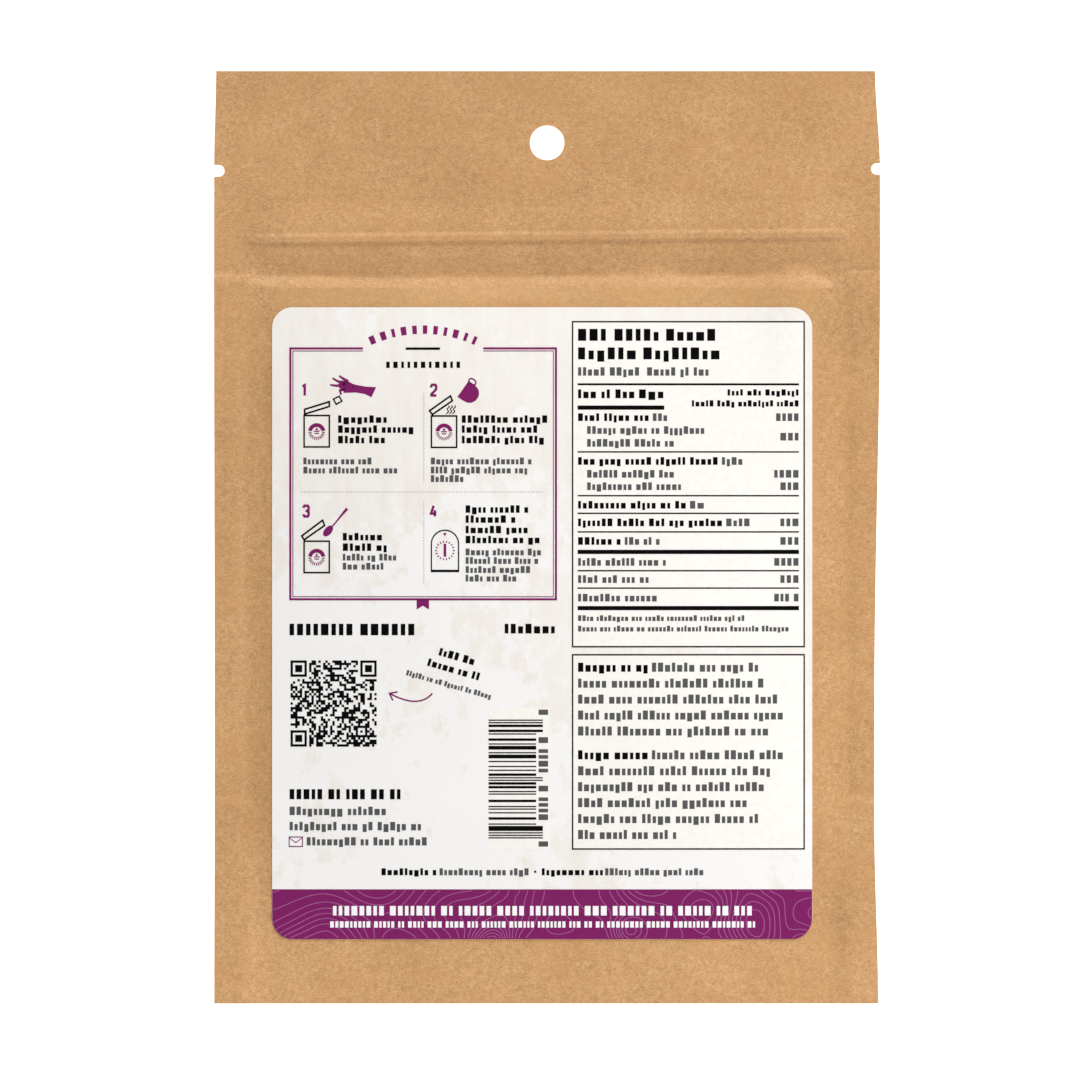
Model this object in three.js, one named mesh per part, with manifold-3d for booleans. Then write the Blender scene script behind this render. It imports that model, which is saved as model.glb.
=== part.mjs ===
// A sealed kraft-paper pouch of dried soup, lying on its front face with the label on its back face up.
// Millimetres, +Z up, +Y towards the hang hole. The origin is under the middle of the pouch, on the surface
// that it lies on. The pouch is one closed solid: two films welded round the edge, swollen by the food between
// them, with a press-to-close zip under the header. The label is a thin sticker that follows the film.
import * as THREE from "three";
import { mergeVertices } from "three/addons/utils/BufferGeometryUtils.js";
import Module from "manifold-3d";

const wasm = await Module();
wasm.setup();

// Outline of the pouch
const WIDTH = 140;
const LENGTH = 196;
const TOP_NARROWING = { left: 0.4, right: 1 }; // how far each top corner stands inside the full width
const WAIST = { left: 0.15, right: 1.2 }; // how far the filled part pulls each side edge in
const HALF_WIDTH = WIDTH / 2;
const HALF_LENGTH = LENGTH / 2;

// Welds, header and zip
const WELD_THICKNESS = 0.5; // of two films
const GUSSET_WELD_THICKNESS = 0.9; // of four films, where the bottom gusset is folded in
const SIDE_WELD = 6.5;
const BOTTOM_WELD = 7;
const HANG_HOLE = { diameter: 7.3, fromTop: 15.1 };
const LEFT_NOTCH = { fromTop: 21, width: 2.5, depth: 2.2 };
const RIGHT_NOTCH = { fromTop: 20.6, width: 2.4, depth: 1.9 };
const ZIP = { swellFrom: 26.5, crestFrom: 34.3, footFrom: 43.4, swell: 0.75, crest: 0.75, crestHalf: 1.3 };
const ZIP_FOOT = HALF_LENGTH - ZIP.footFrom;

// The food inside
const THICKNESS = 10; // of the pouch at its crown
const SEAM_HEIGHT = 3.4; // of the weld's middle above the surface, beside the fill
const HEADER_DROOP = 1.2; // how much lower the top edge hangs
const FOOT_LIFT = 1.1; // how much higher the stiff bottom edge stands
const KNEE = { rise: 1.5, run: 3.2 }; // the film's quick rise just under the zip
const FILL_HALF = HALF_WIDTH - SIDE_WELD;
const FILL_FOOT = -HALF_LENGTH + BOTTOM_WELD;
const GUSSET_TOP = -HALF_LENGTH + 42.5; // the fold line of the bottom gusset
const GUSSET_STEP = 0.7;

// The label on the back face
const LABEL = {
  width: 113.5, length: 132.8, corner: 4.3, offsetX: -1.05, fromTop: 49.7, thickness: 0.3, gap: 0.12,
};
const LABEL_Y = HALF_LENGTH - LABEL.fromTop - LABEL.length / 2;

const KRAFT = new THREE.MeshStandardMaterial({
  name: "kraft", color: 0xcd9f70, roughness: 0.62, metalness: 0,
});
const PAPER = new THREE.MeshStandardMaterial({
  name: "label_paper", color: 0xf2f0ed, roughness: 0.5, metalness: 0,
});

const clamp01 = (t) => Math.min(1, Math.max(0, t));

// 0 before a, 1 after b, with level ends.
function ramp(a, b, value) {
  const t = clamp01((value - a) / (b - a));
  return t * t * (3 - 2 * t);
}

// Numbers from the first to the last, evenly spaced, for each [from, to, steps], joined end to end.
function stations(stretches) {
  const values = [stretches[0][0]];
  for (const [from, to, steps] of stretches) {
    for (let i = 1; i <= steps; i++) values.push(from + ((to - from) * i) / steps);
  }
  return values;
}

// The side edge's distance from the middle: narrower at the header and where the fill pulls it in.
function edgeAt(y, side) {
  const waist = ramp(ZIP_FOOT, -35, y) * (1 - 0.65 * ramp(-60, -HALF_LENGTH, y)) * WAIST[side];
  const header = TOP_NARROWING[side] * ramp(HALF_LENGTH - LEFT_NOTCH.fromTop, HALF_LENGTH, y);
  return HALF_WIDTH - waist - header;
}

// Height of the weld's middle: level beside the fill, lower towards the top edge, higher at the bottom edge.
function seamHeight(y) {
  const droop = HEADER_DROOP * ramp(ZIP_FOOT, HALF_LENGTH, y);
  const lift = FOOT_LIFT * ramp(FILL_FOOT + 10, -HALF_LENGTH, y);
  return SEAM_HEIGHT - droop + lift;
}

function weldThickness(x, y) {
  const folded = ramp(GUSSET_TOP + GUSSET_STEP, GUSSET_TOP - GUSSET_STEP, y);
  const inWeld = ramp(FILL_HALF - 4, FILL_HALF, Math.abs(x));
  const atFoot = ramp(FILL_FOOT + 8, FILL_FOOT, y);
  return WELD_THICKNESS + folded * Math.max(inWeld, atFoot) * (GUSSET_WELD_THICKNESS - WELD_THICKNESS);
}

// How full the pouch is, from 0 at the welds to 1 at the crown: an arch across the pouch, times a length
// profile that climbs slowly over the folded gusset and falls off towards the zip.
function fullness(x, y) {
  const across = Math.abs(x) / FILL_HALF;
  const along = (y - FILL_FOOT) / (ZIP_FOOT - FILL_FOOT);
  if (across >= 1 || along <= 0 || along >= 1) return 0;
  const arch = (1 - across ** 2.2) ** 1.1;
  const climb = Math.sin((Math.PI / 2) * Math.min(1, along / 0.55)) ** 1.1;
  const shoulder = 1 - along ** 5;
  return arch * climb * shoulder;
}

// The zip's relief on one face: a gentle swell, a narrow crest, then a slope down to the foot.
function zipRelief(x, y) {
  const fromTop = HALF_LENGTH - y;
  const ends = 1 - ramp(FILL_HALF - 4, FILL_HALF, Math.abs(x));
  const swell = ZIP.swell * ramp(ZIP.swellFrom, ZIP.swellFrom + 5, fromTop);
  const fall = ZIP.swell * ramp(ZIP.crestFrom, ZIP.footFrom, fromTop);
  const crest = ZIP.crest * Math.max(0, 1 - Math.abs(fromTop - ZIP.crestFrom) / ZIP.crestHalf);
  return ends * (swell - fall + crest);
}

// The film's quick rise under the zip, which fades out over the side welds.
function knee(x, y) {
  const ends = 1 - ramp(FILL_HALF - 8, FILL_HALF, Math.abs(x));
  return KNEE.rise * ends * ramp(0, KNEE.run, ZIP_FOOT - y) * ramp(FILL_FOOT, GUSSET_TOP, y);
}

function upperFilm(x, y) {
  const rise = THICKNESS - SEAM_HEIGHT - WELD_THICKNESS / 2 - KNEE.rise;
  return seamHeight(y) + weldThickness(x, y) / 2 + zipRelief(x, y) + knee(x, y) + rise * fullness(x, y);
}

// The lower film sags onto the surface and lies flat there.
function lowerFilm(x, y) {
  const sag = SEAM_HEIGHT * Math.min(1, 1.9 * fullness(x, y) + knee(x, y) / 6);
  return Math.max(0, seamHeight(y) - weldThickness(x, y) / 2 - zipRelief(x, y) - sag);
}

function solidOf(geometry) {
  const bare = geometry.clone();
  bare.deleteAttribute("normal");
  bare.deleteAttribute("uv");
  const merged = mergeVertices(bare, 1e-4);
  const mesh = new wasm.Mesh({
    numProp: 3,
    vertProperties: merged.attributes.position.array,
    triVerts: new Uint32Array(merged.index.array),
  });
  return new wasm.Manifold(mesh);
}

function geometryOf(solid) {
  const mesh = solid.getMesh();
  const geometry = new THREE.BufferGeometry();
  geometry.setAttribute("position", new THREE.BufferAttribute(mesh.vertProperties, 3));
  geometry.setIndex(new THREE.BufferAttribute(mesh.triVerts, 1));
  geometry.computeVertexNormals();
  return geometry;
}

// A closed slab between the two films: a box whose grid is moved to the columns and rows, then to the films.
function slab(columns, rows) {
  const geometry = new THREE.BoxGeometry(1, 1, 1, columns.length - 1, rows.length - 1, 1);
  const position = geometry.attributes.position;
  for (let i = 0; i < position.count; i++) {
    const column = columns[Math.round((position.getX(i) + 0.5) * (columns.length - 1))];
    const y = rows[Math.round((position.getY(i) + 0.5) * (rows.length - 1))];
    const x = (column / HALF_WIDTH) * edgeAt(y, column < 0 ? "left" : "right");
    position.setXYZ(i, x, y, position.getZ(i) > 0 ? upperFilm(x, y) : lowerFilm(x, y));
  }
  return geometry;
}

// A U-shaped cutter that bites depth into the side edge on one side.
function notchCutter(notch, side, sign) {
  const y = HALF_LENGTH - notch.fromTop;
  const tip = edgeAt(y, side) - notch.depth;
  const radius = notch.width / 2;
  const outline = new THREE.Shape();
  outline.moveTo(notch.depth + 2, -radius);
  outline.lineTo(notch.depth + 2, radius);
  outline.lineTo(radius, radius);
  outline.absarc(radius, 0, radius, Math.PI / 2, (3 * Math.PI) / 2, false);
  const depth = THICKNESS;
  const cutter = new THREE.ExtrudeGeometry(outline, { depth, bevelEnabled: false, curveSegments: 10 });
  cutter.translate(tip, 0, 0);
  if (sign < 0) cutter.rotateZ(Math.PI);
  return cutter.translate(0, y, 0);
}

function hangHoleCutter() {
  const radius = HANG_HOLE.diameter / 2;
  const cutter = new THREE.CylinderGeometry(radius, radius, 4 * THICKNESS, 40);
  return cutter.rotateX(Math.PI / 2).translate(0, HALF_LENGTH - HANG_HOLE.fromTop, 0);
}

// The two films and the fill between them as one slab, before the hole and the notches are cut.
function filledPouch() {
  const columns = stations([
    [-HALF_WIDTH, -FILL_HALF, 1],
    [-FILL_HALF, -FILL_HALF + 8, 4],
    [-FILL_HALF + 8, FILL_HALF - 8, 14],
    [FILL_HALF - 8, FILL_HALF, 4],
    [FILL_HALF, HALF_WIDTH, 1],
  ]);
  const zipCrest = HALF_LENGTH - ZIP.crestFrom;
  const rows = stations([
    [-HALF_LENGTH, FILL_FOOT, 1],
    [FILL_FOOT, GUSSET_TOP - GUSSET_STEP, 7],
    [GUSSET_TOP - GUSSET_STEP, GUSSET_TOP + GUSSET_STEP, 1],
    [GUSSET_TOP + GUSSET_STEP, ZIP_FOOT - 10, 10],
    [ZIP_FOOT - 10, ZIP_FOOT, 6],
    [ZIP_FOOT, zipCrest - ZIP.crestHalf, 3],
    [zipCrest - ZIP.crestHalf, zipCrest + ZIP.crestHalf, 2],
    [zipCrest + ZIP.crestHalf, HALF_LENGTH - ZIP.swellFrom, 3],
    [HALF_LENGTH - ZIP.swellFrom, HALF_LENGTH, 3],
  ]);
  return solidOf(slab(columns, rows));
}

function labelPrism() {
  const { width, length, corner, offsetX } = LABEL;
  const right = width / 2 - corner;
  const top = length / 2 - corner;
  const outline = new THREE.Shape();
  outline.moveTo(right, -top - corner);
  outline.absarc(right, -top, corner, -Math.PI / 2, 0, false);
  outline.absarc(right, top, corner, 0, Math.PI / 2, false);
  outline.absarc(-right, top, corner, Math.PI / 2, Math.PI, false);
  outline.absarc(-right, -top, corner, Math.PI, (3 * Math.PI) / 2, false);
  const depth = 2 * THICKNESS;
  const prism = new THREE.ExtrudeGeometry(outline, { depth, bevelEnabled: false, curveSegments: 8 });
  return prism.translate(offsetX, LABEL_Y, 0);
}

function named(name, geometry, material) {
  const mesh = new THREE.Mesh(geometry, material);
  mesh.name = name;
  return mesh;
}

const filled = filledPouch();
const cutters = [
  hangHoleCutter(), notchCutter(LEFT_NOTCH, "left", -1), notchCutter(RIGHT_NOTCH, "right", 1),
];
const pouch = cutters.reduce((solid, cutter) => solid.subtract(solidOf(cutter)), filled);

// The label is the skin between two lifted copies of the pouch, trimmed to its outline, so it lies evenly.
const labelUnderside = filled.translate(0, 0, LABEL.gap);
const labelFace = filled.translate(0, 0, LABEL.gap + LABEL.thickness);
const backLabel = labelFace.subtract(labelUnderside).intersect(solidOf(labelPrism()));

const group = new THREE.Group();
group.add(named("pouch", geometryOf(pouch), KRAFT));
group.add(named("back_label", geometryOf(backLabel), PAPER));

export default group;
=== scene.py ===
# A sealed kraft-paper pouch of dried soup, lying on its front with the printed label on its back face up.
# Shapes are worked out in millimetres in the CAD frame and put into the meshes in metres: +X to the right
# as the label is read, +Y towards the hang hole, +Z up. Places on the label are in millimetres from its
# upper left corner, across to the right and down.
import math

import bpy
import numpy as np
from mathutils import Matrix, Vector


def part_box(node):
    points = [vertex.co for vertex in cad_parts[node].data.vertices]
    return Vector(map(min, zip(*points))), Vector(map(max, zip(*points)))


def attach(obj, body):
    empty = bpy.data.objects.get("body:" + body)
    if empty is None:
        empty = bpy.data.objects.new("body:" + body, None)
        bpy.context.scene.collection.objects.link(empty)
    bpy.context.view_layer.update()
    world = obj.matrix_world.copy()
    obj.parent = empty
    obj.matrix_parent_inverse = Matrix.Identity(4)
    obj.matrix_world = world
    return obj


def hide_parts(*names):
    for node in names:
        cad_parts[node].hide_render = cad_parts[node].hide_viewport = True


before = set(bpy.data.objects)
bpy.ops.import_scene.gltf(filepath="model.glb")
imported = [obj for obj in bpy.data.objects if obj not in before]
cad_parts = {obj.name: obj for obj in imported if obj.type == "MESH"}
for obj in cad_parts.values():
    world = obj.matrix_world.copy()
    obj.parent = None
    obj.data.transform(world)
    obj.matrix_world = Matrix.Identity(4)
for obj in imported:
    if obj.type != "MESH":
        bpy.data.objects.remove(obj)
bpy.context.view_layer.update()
MM = 0.001

# ---------------------------------------------------------------- sizes, in millimetres
HALF_WIDTH, HALF_LENGTH = (float(side / MM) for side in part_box("pouch")[1][:2])
CROWN = 10.0
TOP_NARROWING = {"left": 0.4, "right": 1.0}
HEADER_LENGTH = 21.0
WAIST = {"left": 0.15, "right": 1.2}
WAIST_TOP, WAIST_EASE_TOP, WAIST_EASE = -35.0, -60.0, 0.65  # full under the first, eased under the second
WELD_THICKNESS, GUSSET_WELD_THICKNESS = 0.5, 0.9
SIDE_WELD, BOTTOM_WELD = 6.5, 7.0
SEAM_HEIGHT = 3.4
ZIP_STEP = 0.35
HEADER_DROOP = 1.2
FOOT_LIFT = 1.1
FILL_HALF = HALF_WIDTH - SIDE_WELD
FILL_FOOT = -HALF_LENGTH + BOTTOM_WELD
GUSSET_TOP = -HALF_LENGTH + 42.5
ZIP_FOOT = HALF_LENGTH - 43.4
HOLE_Y = HALF_LENGTH - 15.1
HOLE_RADIUS = 3.65
HOLE_WINDOW = 6.0  # half side of the square of film that is laid out in rings round the hole
NOTCHES = {  # where each tear notch is, half its width, and how deep it bites
    "left": {"y": HALF_LENGTH - 21.0, "radius": 1.25, "depth": 2.2},
    "right": {"y": HALF_LENGTH - 20.6, "radius": 1.2, "depth": 1.9},
}
NOTCH_REACH = 10.0  # how much of the film's grid beside a notch shifts inwards with it

label_low, label_high = (np.array(corner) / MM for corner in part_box("back_label"))
LABEL_WIDTH, LABEL_LENGTH = (float(side) for side in (label_high - label_low)[:2])
LABEL_LEFT, LABEL_TOP = float(label_low[0]), float(label_high[1])
LABEL_CORNER = 4.3
LABEL_GAP, LABEL_THICKNESS = 0.03, 0.14


# ---------------------------------------------------------------- small mathematics
def ramp(a, b, value):
    """0 before a, 1 after b, and between them three times the square less twice the cube of the way."""
    t = np.clip((value - a) / (b - a), 0.0, 1.0)
    return t * t * (3.0 - 2.0 * t)


def bell(centre, half_width, value):
    """A bell curve: e to the minus square of the distance from the centre in half widths."""
    return np.exp(-(((value - centre) / half_width) ** 2))


def stations(*stretches):
    """Numbers from the first to the last of each (from, to, steps), evenly spaced and joined end to end."""
    parts = [np.linspace(a, b, steps, endpoint=False) for a, b, steps in stretches]
    return np.concatenate(parts + [np.array([stretches[-1][1]])])


def slow_waves(x, y, seed, count, longest, shortest):
    """The mean of a number of sine waves whose directions, lengths and starts are drawn from the seed."""
    draw = np.random.default_rng(seed)
    angle = draw.uniform(0, math.pi, count)
    turns = 2 * math.pi / np.geomspace(longest, shortest, count)
    start = draw.uniform(0, 2 * math.pi, count)
    total = np.zeros(np.broadcast(x, y).shape)
    for i in range(count):
        total += np.sin(turns[i] * (x * math.cos(angle[i]) + y * math.sin(angle[i])) + start[i])
    return total / count


# ---------------------------------------------------------------- the shape of the two films
def edge_at(y, side):
    """The side edge's distance from the middle: the half width, less a waist beside the fill and less a
    narrowing that grows towards the top corners."""
    eased = 1 - WAIST_EASE * ramp(WAIST_EASE_TOP, -HALF_LENGTH, y)
    waist = ramp(ZIP_FOOT, WAIST_TOP, y) * eased * WAIST[side]
    header = TOP_NARROWING[side] * ramp(HALF_LENGTH - HEADER_LENGTH, HALF_LENGTH, y)
    return HALF_WIDTH - waist - header


def notch_bite(y, side):
    """How deep the notch is at y: a straight part and a half circle, and nothing past the notch's width."""
    notch = NOTCHES[side]
    off = np.abs(y - notch["y"])
    round_end = np.sqrt(np.clip(notch["radius"] ** 2 - off**2, 0.0, None))
    return np.where(off <= notch["radius"] + 1e-6, notch["depth"] - notch["radius"] + round_end, 0.0)


def seam_height(y):
    """The height of the weld's middle: level beside the fill, a small step lower at the zip's foot, lower
    still towards the top edge, and higher at the stiff bottom edge."""
    step = ZIP_STEP * ramp(ZIP_FOOT - 1.6, ZIP_FOOT + 0.8, y)
    droop = HEADER_DROOP * ramp(ZIP_FOOT, HALF_LENGTH, y)
    lift = FOOT_LIFT * ramp(FILL_FOOT + 10, -HALF_LENGTH, y)
    return SEAM_HEIGHT + ZIP_STEP - step - droop + lift


def weld_thickness(x, y):
    """Two films thick, and four films thick in the welds below the gusset's fold line."""
    folded = ramp(GUSSET_TOP + 0.6, GUSSET_TOP - 0.6, y)
    in_weld = ramp(FILL_HALF - 4, FILL_HALF, np.abs(x))
    at_foot = ramp(FILL_FOOT + 8, FILL_FOOT, y)
    more = folded * np.maximum(in_weld, at_foot) * (GUSSET_WELD_THICKNESS - WELD_THICKNESS)
    return WELD_THICKNESS + more


ARCH_POWER, FULL_POWER, SHOULDER_POWER = 2.2, 1.1, 5
CLIMB_SHARE = 0.55  # of the fill's length, from its foot to its fullest place


def fullness(x, y):
    """How full the pouch is, 0 at the welds and 1 at the crown: one less a power of the way across, times
    the sine of the way up the gusset, times one less a power of the way along to the zip."""
    across = np.clip(np.abs(x) / FILL_HALF, 0.0, 1.0)
    along = np.clip((y - FILL_FOOT) / (ZIP_FOOT - FILL_FOOT), 0.0, 1.0)
    arch = (1 - across**ARCH_POWER) ** FULL_POWER
    climb = np.sin((math.pi / 2) * np.minimum(1.0, along / CLIMB_SHARE)) ** FULL_POWER
    return arch * climb * (1 - along**SHOULDER_POWER)


ZIP_TILT = 0.0095  # the zip climbs by this much for each millimetre to the right
ZIP_STEPS = (  # from and to, in millimetres below the top edge, and how much the film rises between them
    (26.6, 33.2, 0.45),
    (33.5, 34.6, 0.31),
    (35.5, 36.2, -0.52),
    (37.2, 43.0, -0.62),
)
ZIP_FALL = (36.4, 43.3, -0.38)  # one more, a fall that steepens on its way to the zip's foot
ZIP_FALL_POWER = 1.4


def zip_relief(x, y):
    """The zip's relief: a sum of smooth steps down the pouch and a fall that grows as a power of the way
    along it, faded out at the side welds."""
    from_top = HALF_LENGTH - y + ZIP_TILT * x
    ends = 1 - ramp(FILL_HALF - 5, FILL_HALF + 1.5, np.abs(x))
    total = np.zeros(np.broadcast(x, y).shape)
    for start, end, rise in ZIP_STEPS:
        total += rise * ramp(start, end, from_top)
    start, end, rise = ZIP_FALL
    total += rise * np.clip((from_top - start) / (end - start), 0.0, 1.0) ** ZIP_FALL_POWER
    return ends * total


KNEE_RISE, KNEE_POWER = 1.0, 1.2
# How the knee's top wanders along the zip: how far up, where, and over what half width
KNEE_BELLS = ((2.3, 21.0, 5.0), (2.4, 51.5, 4.0), (-1.5, 59.5, 2.2), (-1.2, -33.0, 12.0))
SOFT_BELL = (-10.0, 21.0)  # where along the zip the step is soft, and over what half width
SWELL_RISE, SWELL_BELL = 0.6, (51.0, 5.0)


def knee(x, y):
    """The film's quick rise under the zip: a sharp step at the two ends of the zip and a soft one between
    them, whose top wanders along the zip in a few shallow bells, and a low swell near the right end that
    sinks back down the pouch."""
    wander = sum(height * bell(centre, half_width, x) for height, centre, half_width in KNEE_BELLS)
    top = ZIP_FOOT + 0.6 + wander
    sharp = np.clip((top - y) / (top - ZIP_FOOT + 2.1), 0.0, 1.0) ** KNEE_POWER
    soft = ramp(ZIP_FOOT + 0.6, ZIP_FOOT - 5.5, y)
    softness = bell(*SOFT_BELL, x)
    ends = 1 - ramp(FILL_HALF - 6, FILL_HALF + 0.5, np.abs(x))
    shape = softness * soft + (1 - softness) * sharp
    swell = SWELL_RISE * bell(*SWELL_BELL, x) * ramp(58.0, 53.5, y) * ramp(15.0, 50.0, y)
    return KNEE_RISE * ends * shape * ramp(FILL_FOOT, GUSSET_TOP, y) + swell


# Heights of the lumps and of each film's cockle, and their waves: seed, number, longest and shortest length
LUMPS, LUMP_WAVES = 0.16, (11, 14, 60, 13)
COCKLE, COCKLE_WAVES = 0.035, (23, 16, 26, 5)
FRONT_COCKLE, FRONT_COCKLE_WAVES = 0.03, (31, 12, 24, 6)


def contents(x, y):
    """Shallow lumps where the dry pieces press on the film: slow waves, scaled by how full the pouch is."""
    return LUMPS * slow_waves(x, y, *LUMP_WAVES) * fullness(x, y)


def back_film(x, y):
    """The label's bed: the seam's height, half a weld, the zip, the knee, the fill and its lumps."""
    rise = CROWN - SEAM_HEIGHT - ZIP_STEP - WELD_THICKNESS / 2 - KNEE_RISE
    base = seam_height(y) + weld_thickness(x, y) / 2
    return base + zip_relief(x, y) + knee(x, y) + rise * fullness(x, y) + contents(x, y)


def fold(x, y, start, end, half_width, height, step=False):
    """A crease from start to end: a ridge with a bell curve section, or a step with an S-shaped one, that
    swells from nothing at each end as the sine of the way along."""
    (ax, ay), (bx, by) = start, end
    length = math.hypot(bx - ax, by - ay)
    dx, dy = (bx - ax) / length, (by - ay) / length
    along = ((x - ax) * dx + (y - ay) * dy) / length
    off = (x - ax) * dy - (y - ay) * dx
    swell = np.sqrt(np.sin(math.pi * np.clip(along, 0.0, 1.0)))
    section = np.tanh(off / half_width) * bell(0, 4 * half_width, off) if step else bell(0, half_width, off)
    return height * swell * section


CREASES = (  # start, end, half width, height, whether it is a step
    ((-71, 55.1), (-62, 55.0), 0.5, 0.16, True),
    ((-71, 70.0), (-62.5, 69.6), 0.6, 0.06, True),
    ((61.5, 56.1), (73, 56.4), 0.55, -0.24, False),
    ((-71, -14.7), (-57.0, -12.2), 0.7, 0.14, True),
    ((55.0, 2.3), (70.5, 2.0), 0.7, 0.10, True),
    ((-71, -55.3), (-59.5, -55.2), 0.45, 0.14, True),
    ((59.5, -55.1), (71, -55.4), 0.45, 0.14, True),
    ((-62.4, -81.5), (-62.4, -93.0), 0.5, 0.10, False),
    ((-59.7, -87.0), (-59.6, -95.0), 0.45, 0.09, False),
    ((-59.4, 52.0), (-59.6, 2.0), 1.1, -0.09, False),
    ((-58.0, -95.6), (-24.0, -95.8), 0.6, 0.05, True),
    ((-66.5, 48.0), (-65.5, -48.0), 1.6, 0.06, False),
    ((66.0, 45.0), (65.0, -30.0), 1.8, 0.055, False),
)


def crumple(x, y):
    """The kraft film's own creases and its faint cockle, both faded out under the label."""
    middle_x = LABEL_LEFT + LABEL_WIDTH / 2
    middle_y = LABEL_TOP - LABEL_LENGTH / 2
    clear_x = np.abs(x - middle_x) - LABEL_WIDTH / 2
    clear_y = np.abs(y - middle_y) - LABEL_LENGTH / 2
    clear = ramp(-1.5, 0.5, np.maximum(clear_x, clear_y))
    total = COCKLE * slow_waves(x, y, *COCKLE_WAVES) + sum(fold(x, y, *crease) for crease in CREASES)
    return clear * total


def kraft_back(x, y):
    """The upper film: the smooth back film and its crumple."""
    return back_film(x, y) + crumple(x, y)


SAG_BY_FULLNESS, SAG_BY_KNEE = 1.9, 1 / 6


def kraft_front(x, y):
    """The film underneath: it sags from the seam by up to the seam's height, and lies flat at nothing. The
    zip pushes it down by as much as it lifts or lowers the film above."""
    sag = seam_height(y) * np.minimum(1.0, SAG_BY_FULLNESS * fullness(x, y) + SAG_BY_KNEE * knee(x, y))
    cockle = FRONT_COCKLE * slow_waves(x, y, *FRONT_COCKLE_WAVES)
    low = seam_height(y) - weld_thickness(x, y) / 2 - np.abs(zip_relief(x, y)) - sag
    return np.maximum(0.0, low + cockle * ramp(0.0, 1.0, low))


def label_face(x, y):
    """The label's printed side: the smooth back film, the gap and the label's thickness."""
    return back_film(x, y) + LABEL_GAP + LABEL_THICKNESS


# ---------------------------------------------------------------- meshes from grids
def grid_quads(count_down, count_across, wrap=False):
    """Corner numbers of the cells of a grid, anticlockwise where across is +X and down the list is +Y."""
    across = count_across if wrap else count_across - 1
    i, j = np.meshgrid(np.arange(count_down - 1), np.arange(across), indexing="ij")
    j_next = (j + 1) % count_across
    corners = [i * count_across + j, i * count_across + j_next]
    corners += [(i + 1) * count_across + j_next, (i + 1) * count_across + j]
    return np.stack(corners, axis=-1).reshape(-1, 4)


def border(count_down, count_across):
    """The numbers of a grid's outermost points, once round, anticlockwise."""
    numbers = np.arange(count_down * count_across).reshape(count_down, count_across)
    return np.concatenate([numbers[0, :-1], numbers[:-1, -1], numbers[-1, :0:-1], numbers[:0:-1, 0]])


def walls(lower_loop, upper_loop):
    """Quads between two loops of points, facing away from what an anticlockwise loop goes round."""
    return np.stack([lower_loop, np.roll(lower_loop, -1), np.roll(upper_loop, -1), upper_loop], axis=-1)


def new_piece(name, points_mm, quads, finishes, replaced=None, finish_numbers=None):
    """A mesh object from points in millimetres and quads, riding on the pouch's one body."""
    mesh = bpy.data.meshes.new(name)
    mesh.from_pydata((np.asarray(points_mm) * MM).tolist(), [], np.asarray(quads).tolist())
    for finish in finishes:
        mesh.materials.append(finish)
    if finish_numbers is not None:
        mesh.polygons.foreach_set("material_index", np.asarray(finish_numbers, dtype=np.int32))
    mesh.polygons.foreach_set("use_smooth", np.ones(len(quads), dtype=bool))
    mesh.set_sharp_from_angle(angle=math.radians(50))
    mesh.update()
    piece = bpy.data.objects.new(name, mesh)
    bpy.context.scene.collection.objects.link(piece)
    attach(piece, "root")
    if replaced:
        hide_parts(replaced)
    return piece


# The pouch's grid, as stretches of (from, to, steps): close together at the edges, the zip and the notches
COLUMN_STRETCHES = (
    (-HALF_WIDTH, -56, 26), (-56, -HOLE_WINDOW, 40), (-HOLE_WINDOW, HOLE_WINDOW, 12),
    (HOLE_WINDOW, 54, 39), (54, HALF_WIDTH, 28),
)
ROW_STRETCHES = (
    (-HALF_LENGTH, -84, 20), (-84, 46, 134), (46, 51.8, 15), (51.8, 53.2, 7), (53.2, 60.6, 20),
    (60.6, 65.6, 30), (65.6, 72, 16), (72, 75.4, 4), (75.4, 79, 36),
    (79, HOLE_Y + HOLE_WINDOW, 10), (HOLE_Y + HOLE_WINDOW, HALF_LENGTH, 9),
)
LIP = 0.01  # how far to each side of a notch's straight edge a row lies
HOLE_RINGS = 6


def pouch_stations():
    """Columns and rows of the pouch's grid: the stretches, two rows at each edge of a notch, and one at the
    foot of the hole's window."""
    lips = [notch["y"] + side * (notch["radius"] + off) for notch in NOTCHES.values()
            for side in (-1, 1) for off in (-LIP, LIP)]
    rows = np.concatenate([stations(*ROW_STRETCHES), lips, [HOLE_Y - HOLE_WINDOW]])
    return stations(*COLUMN_STRETCHES), np.sort(rows)


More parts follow.
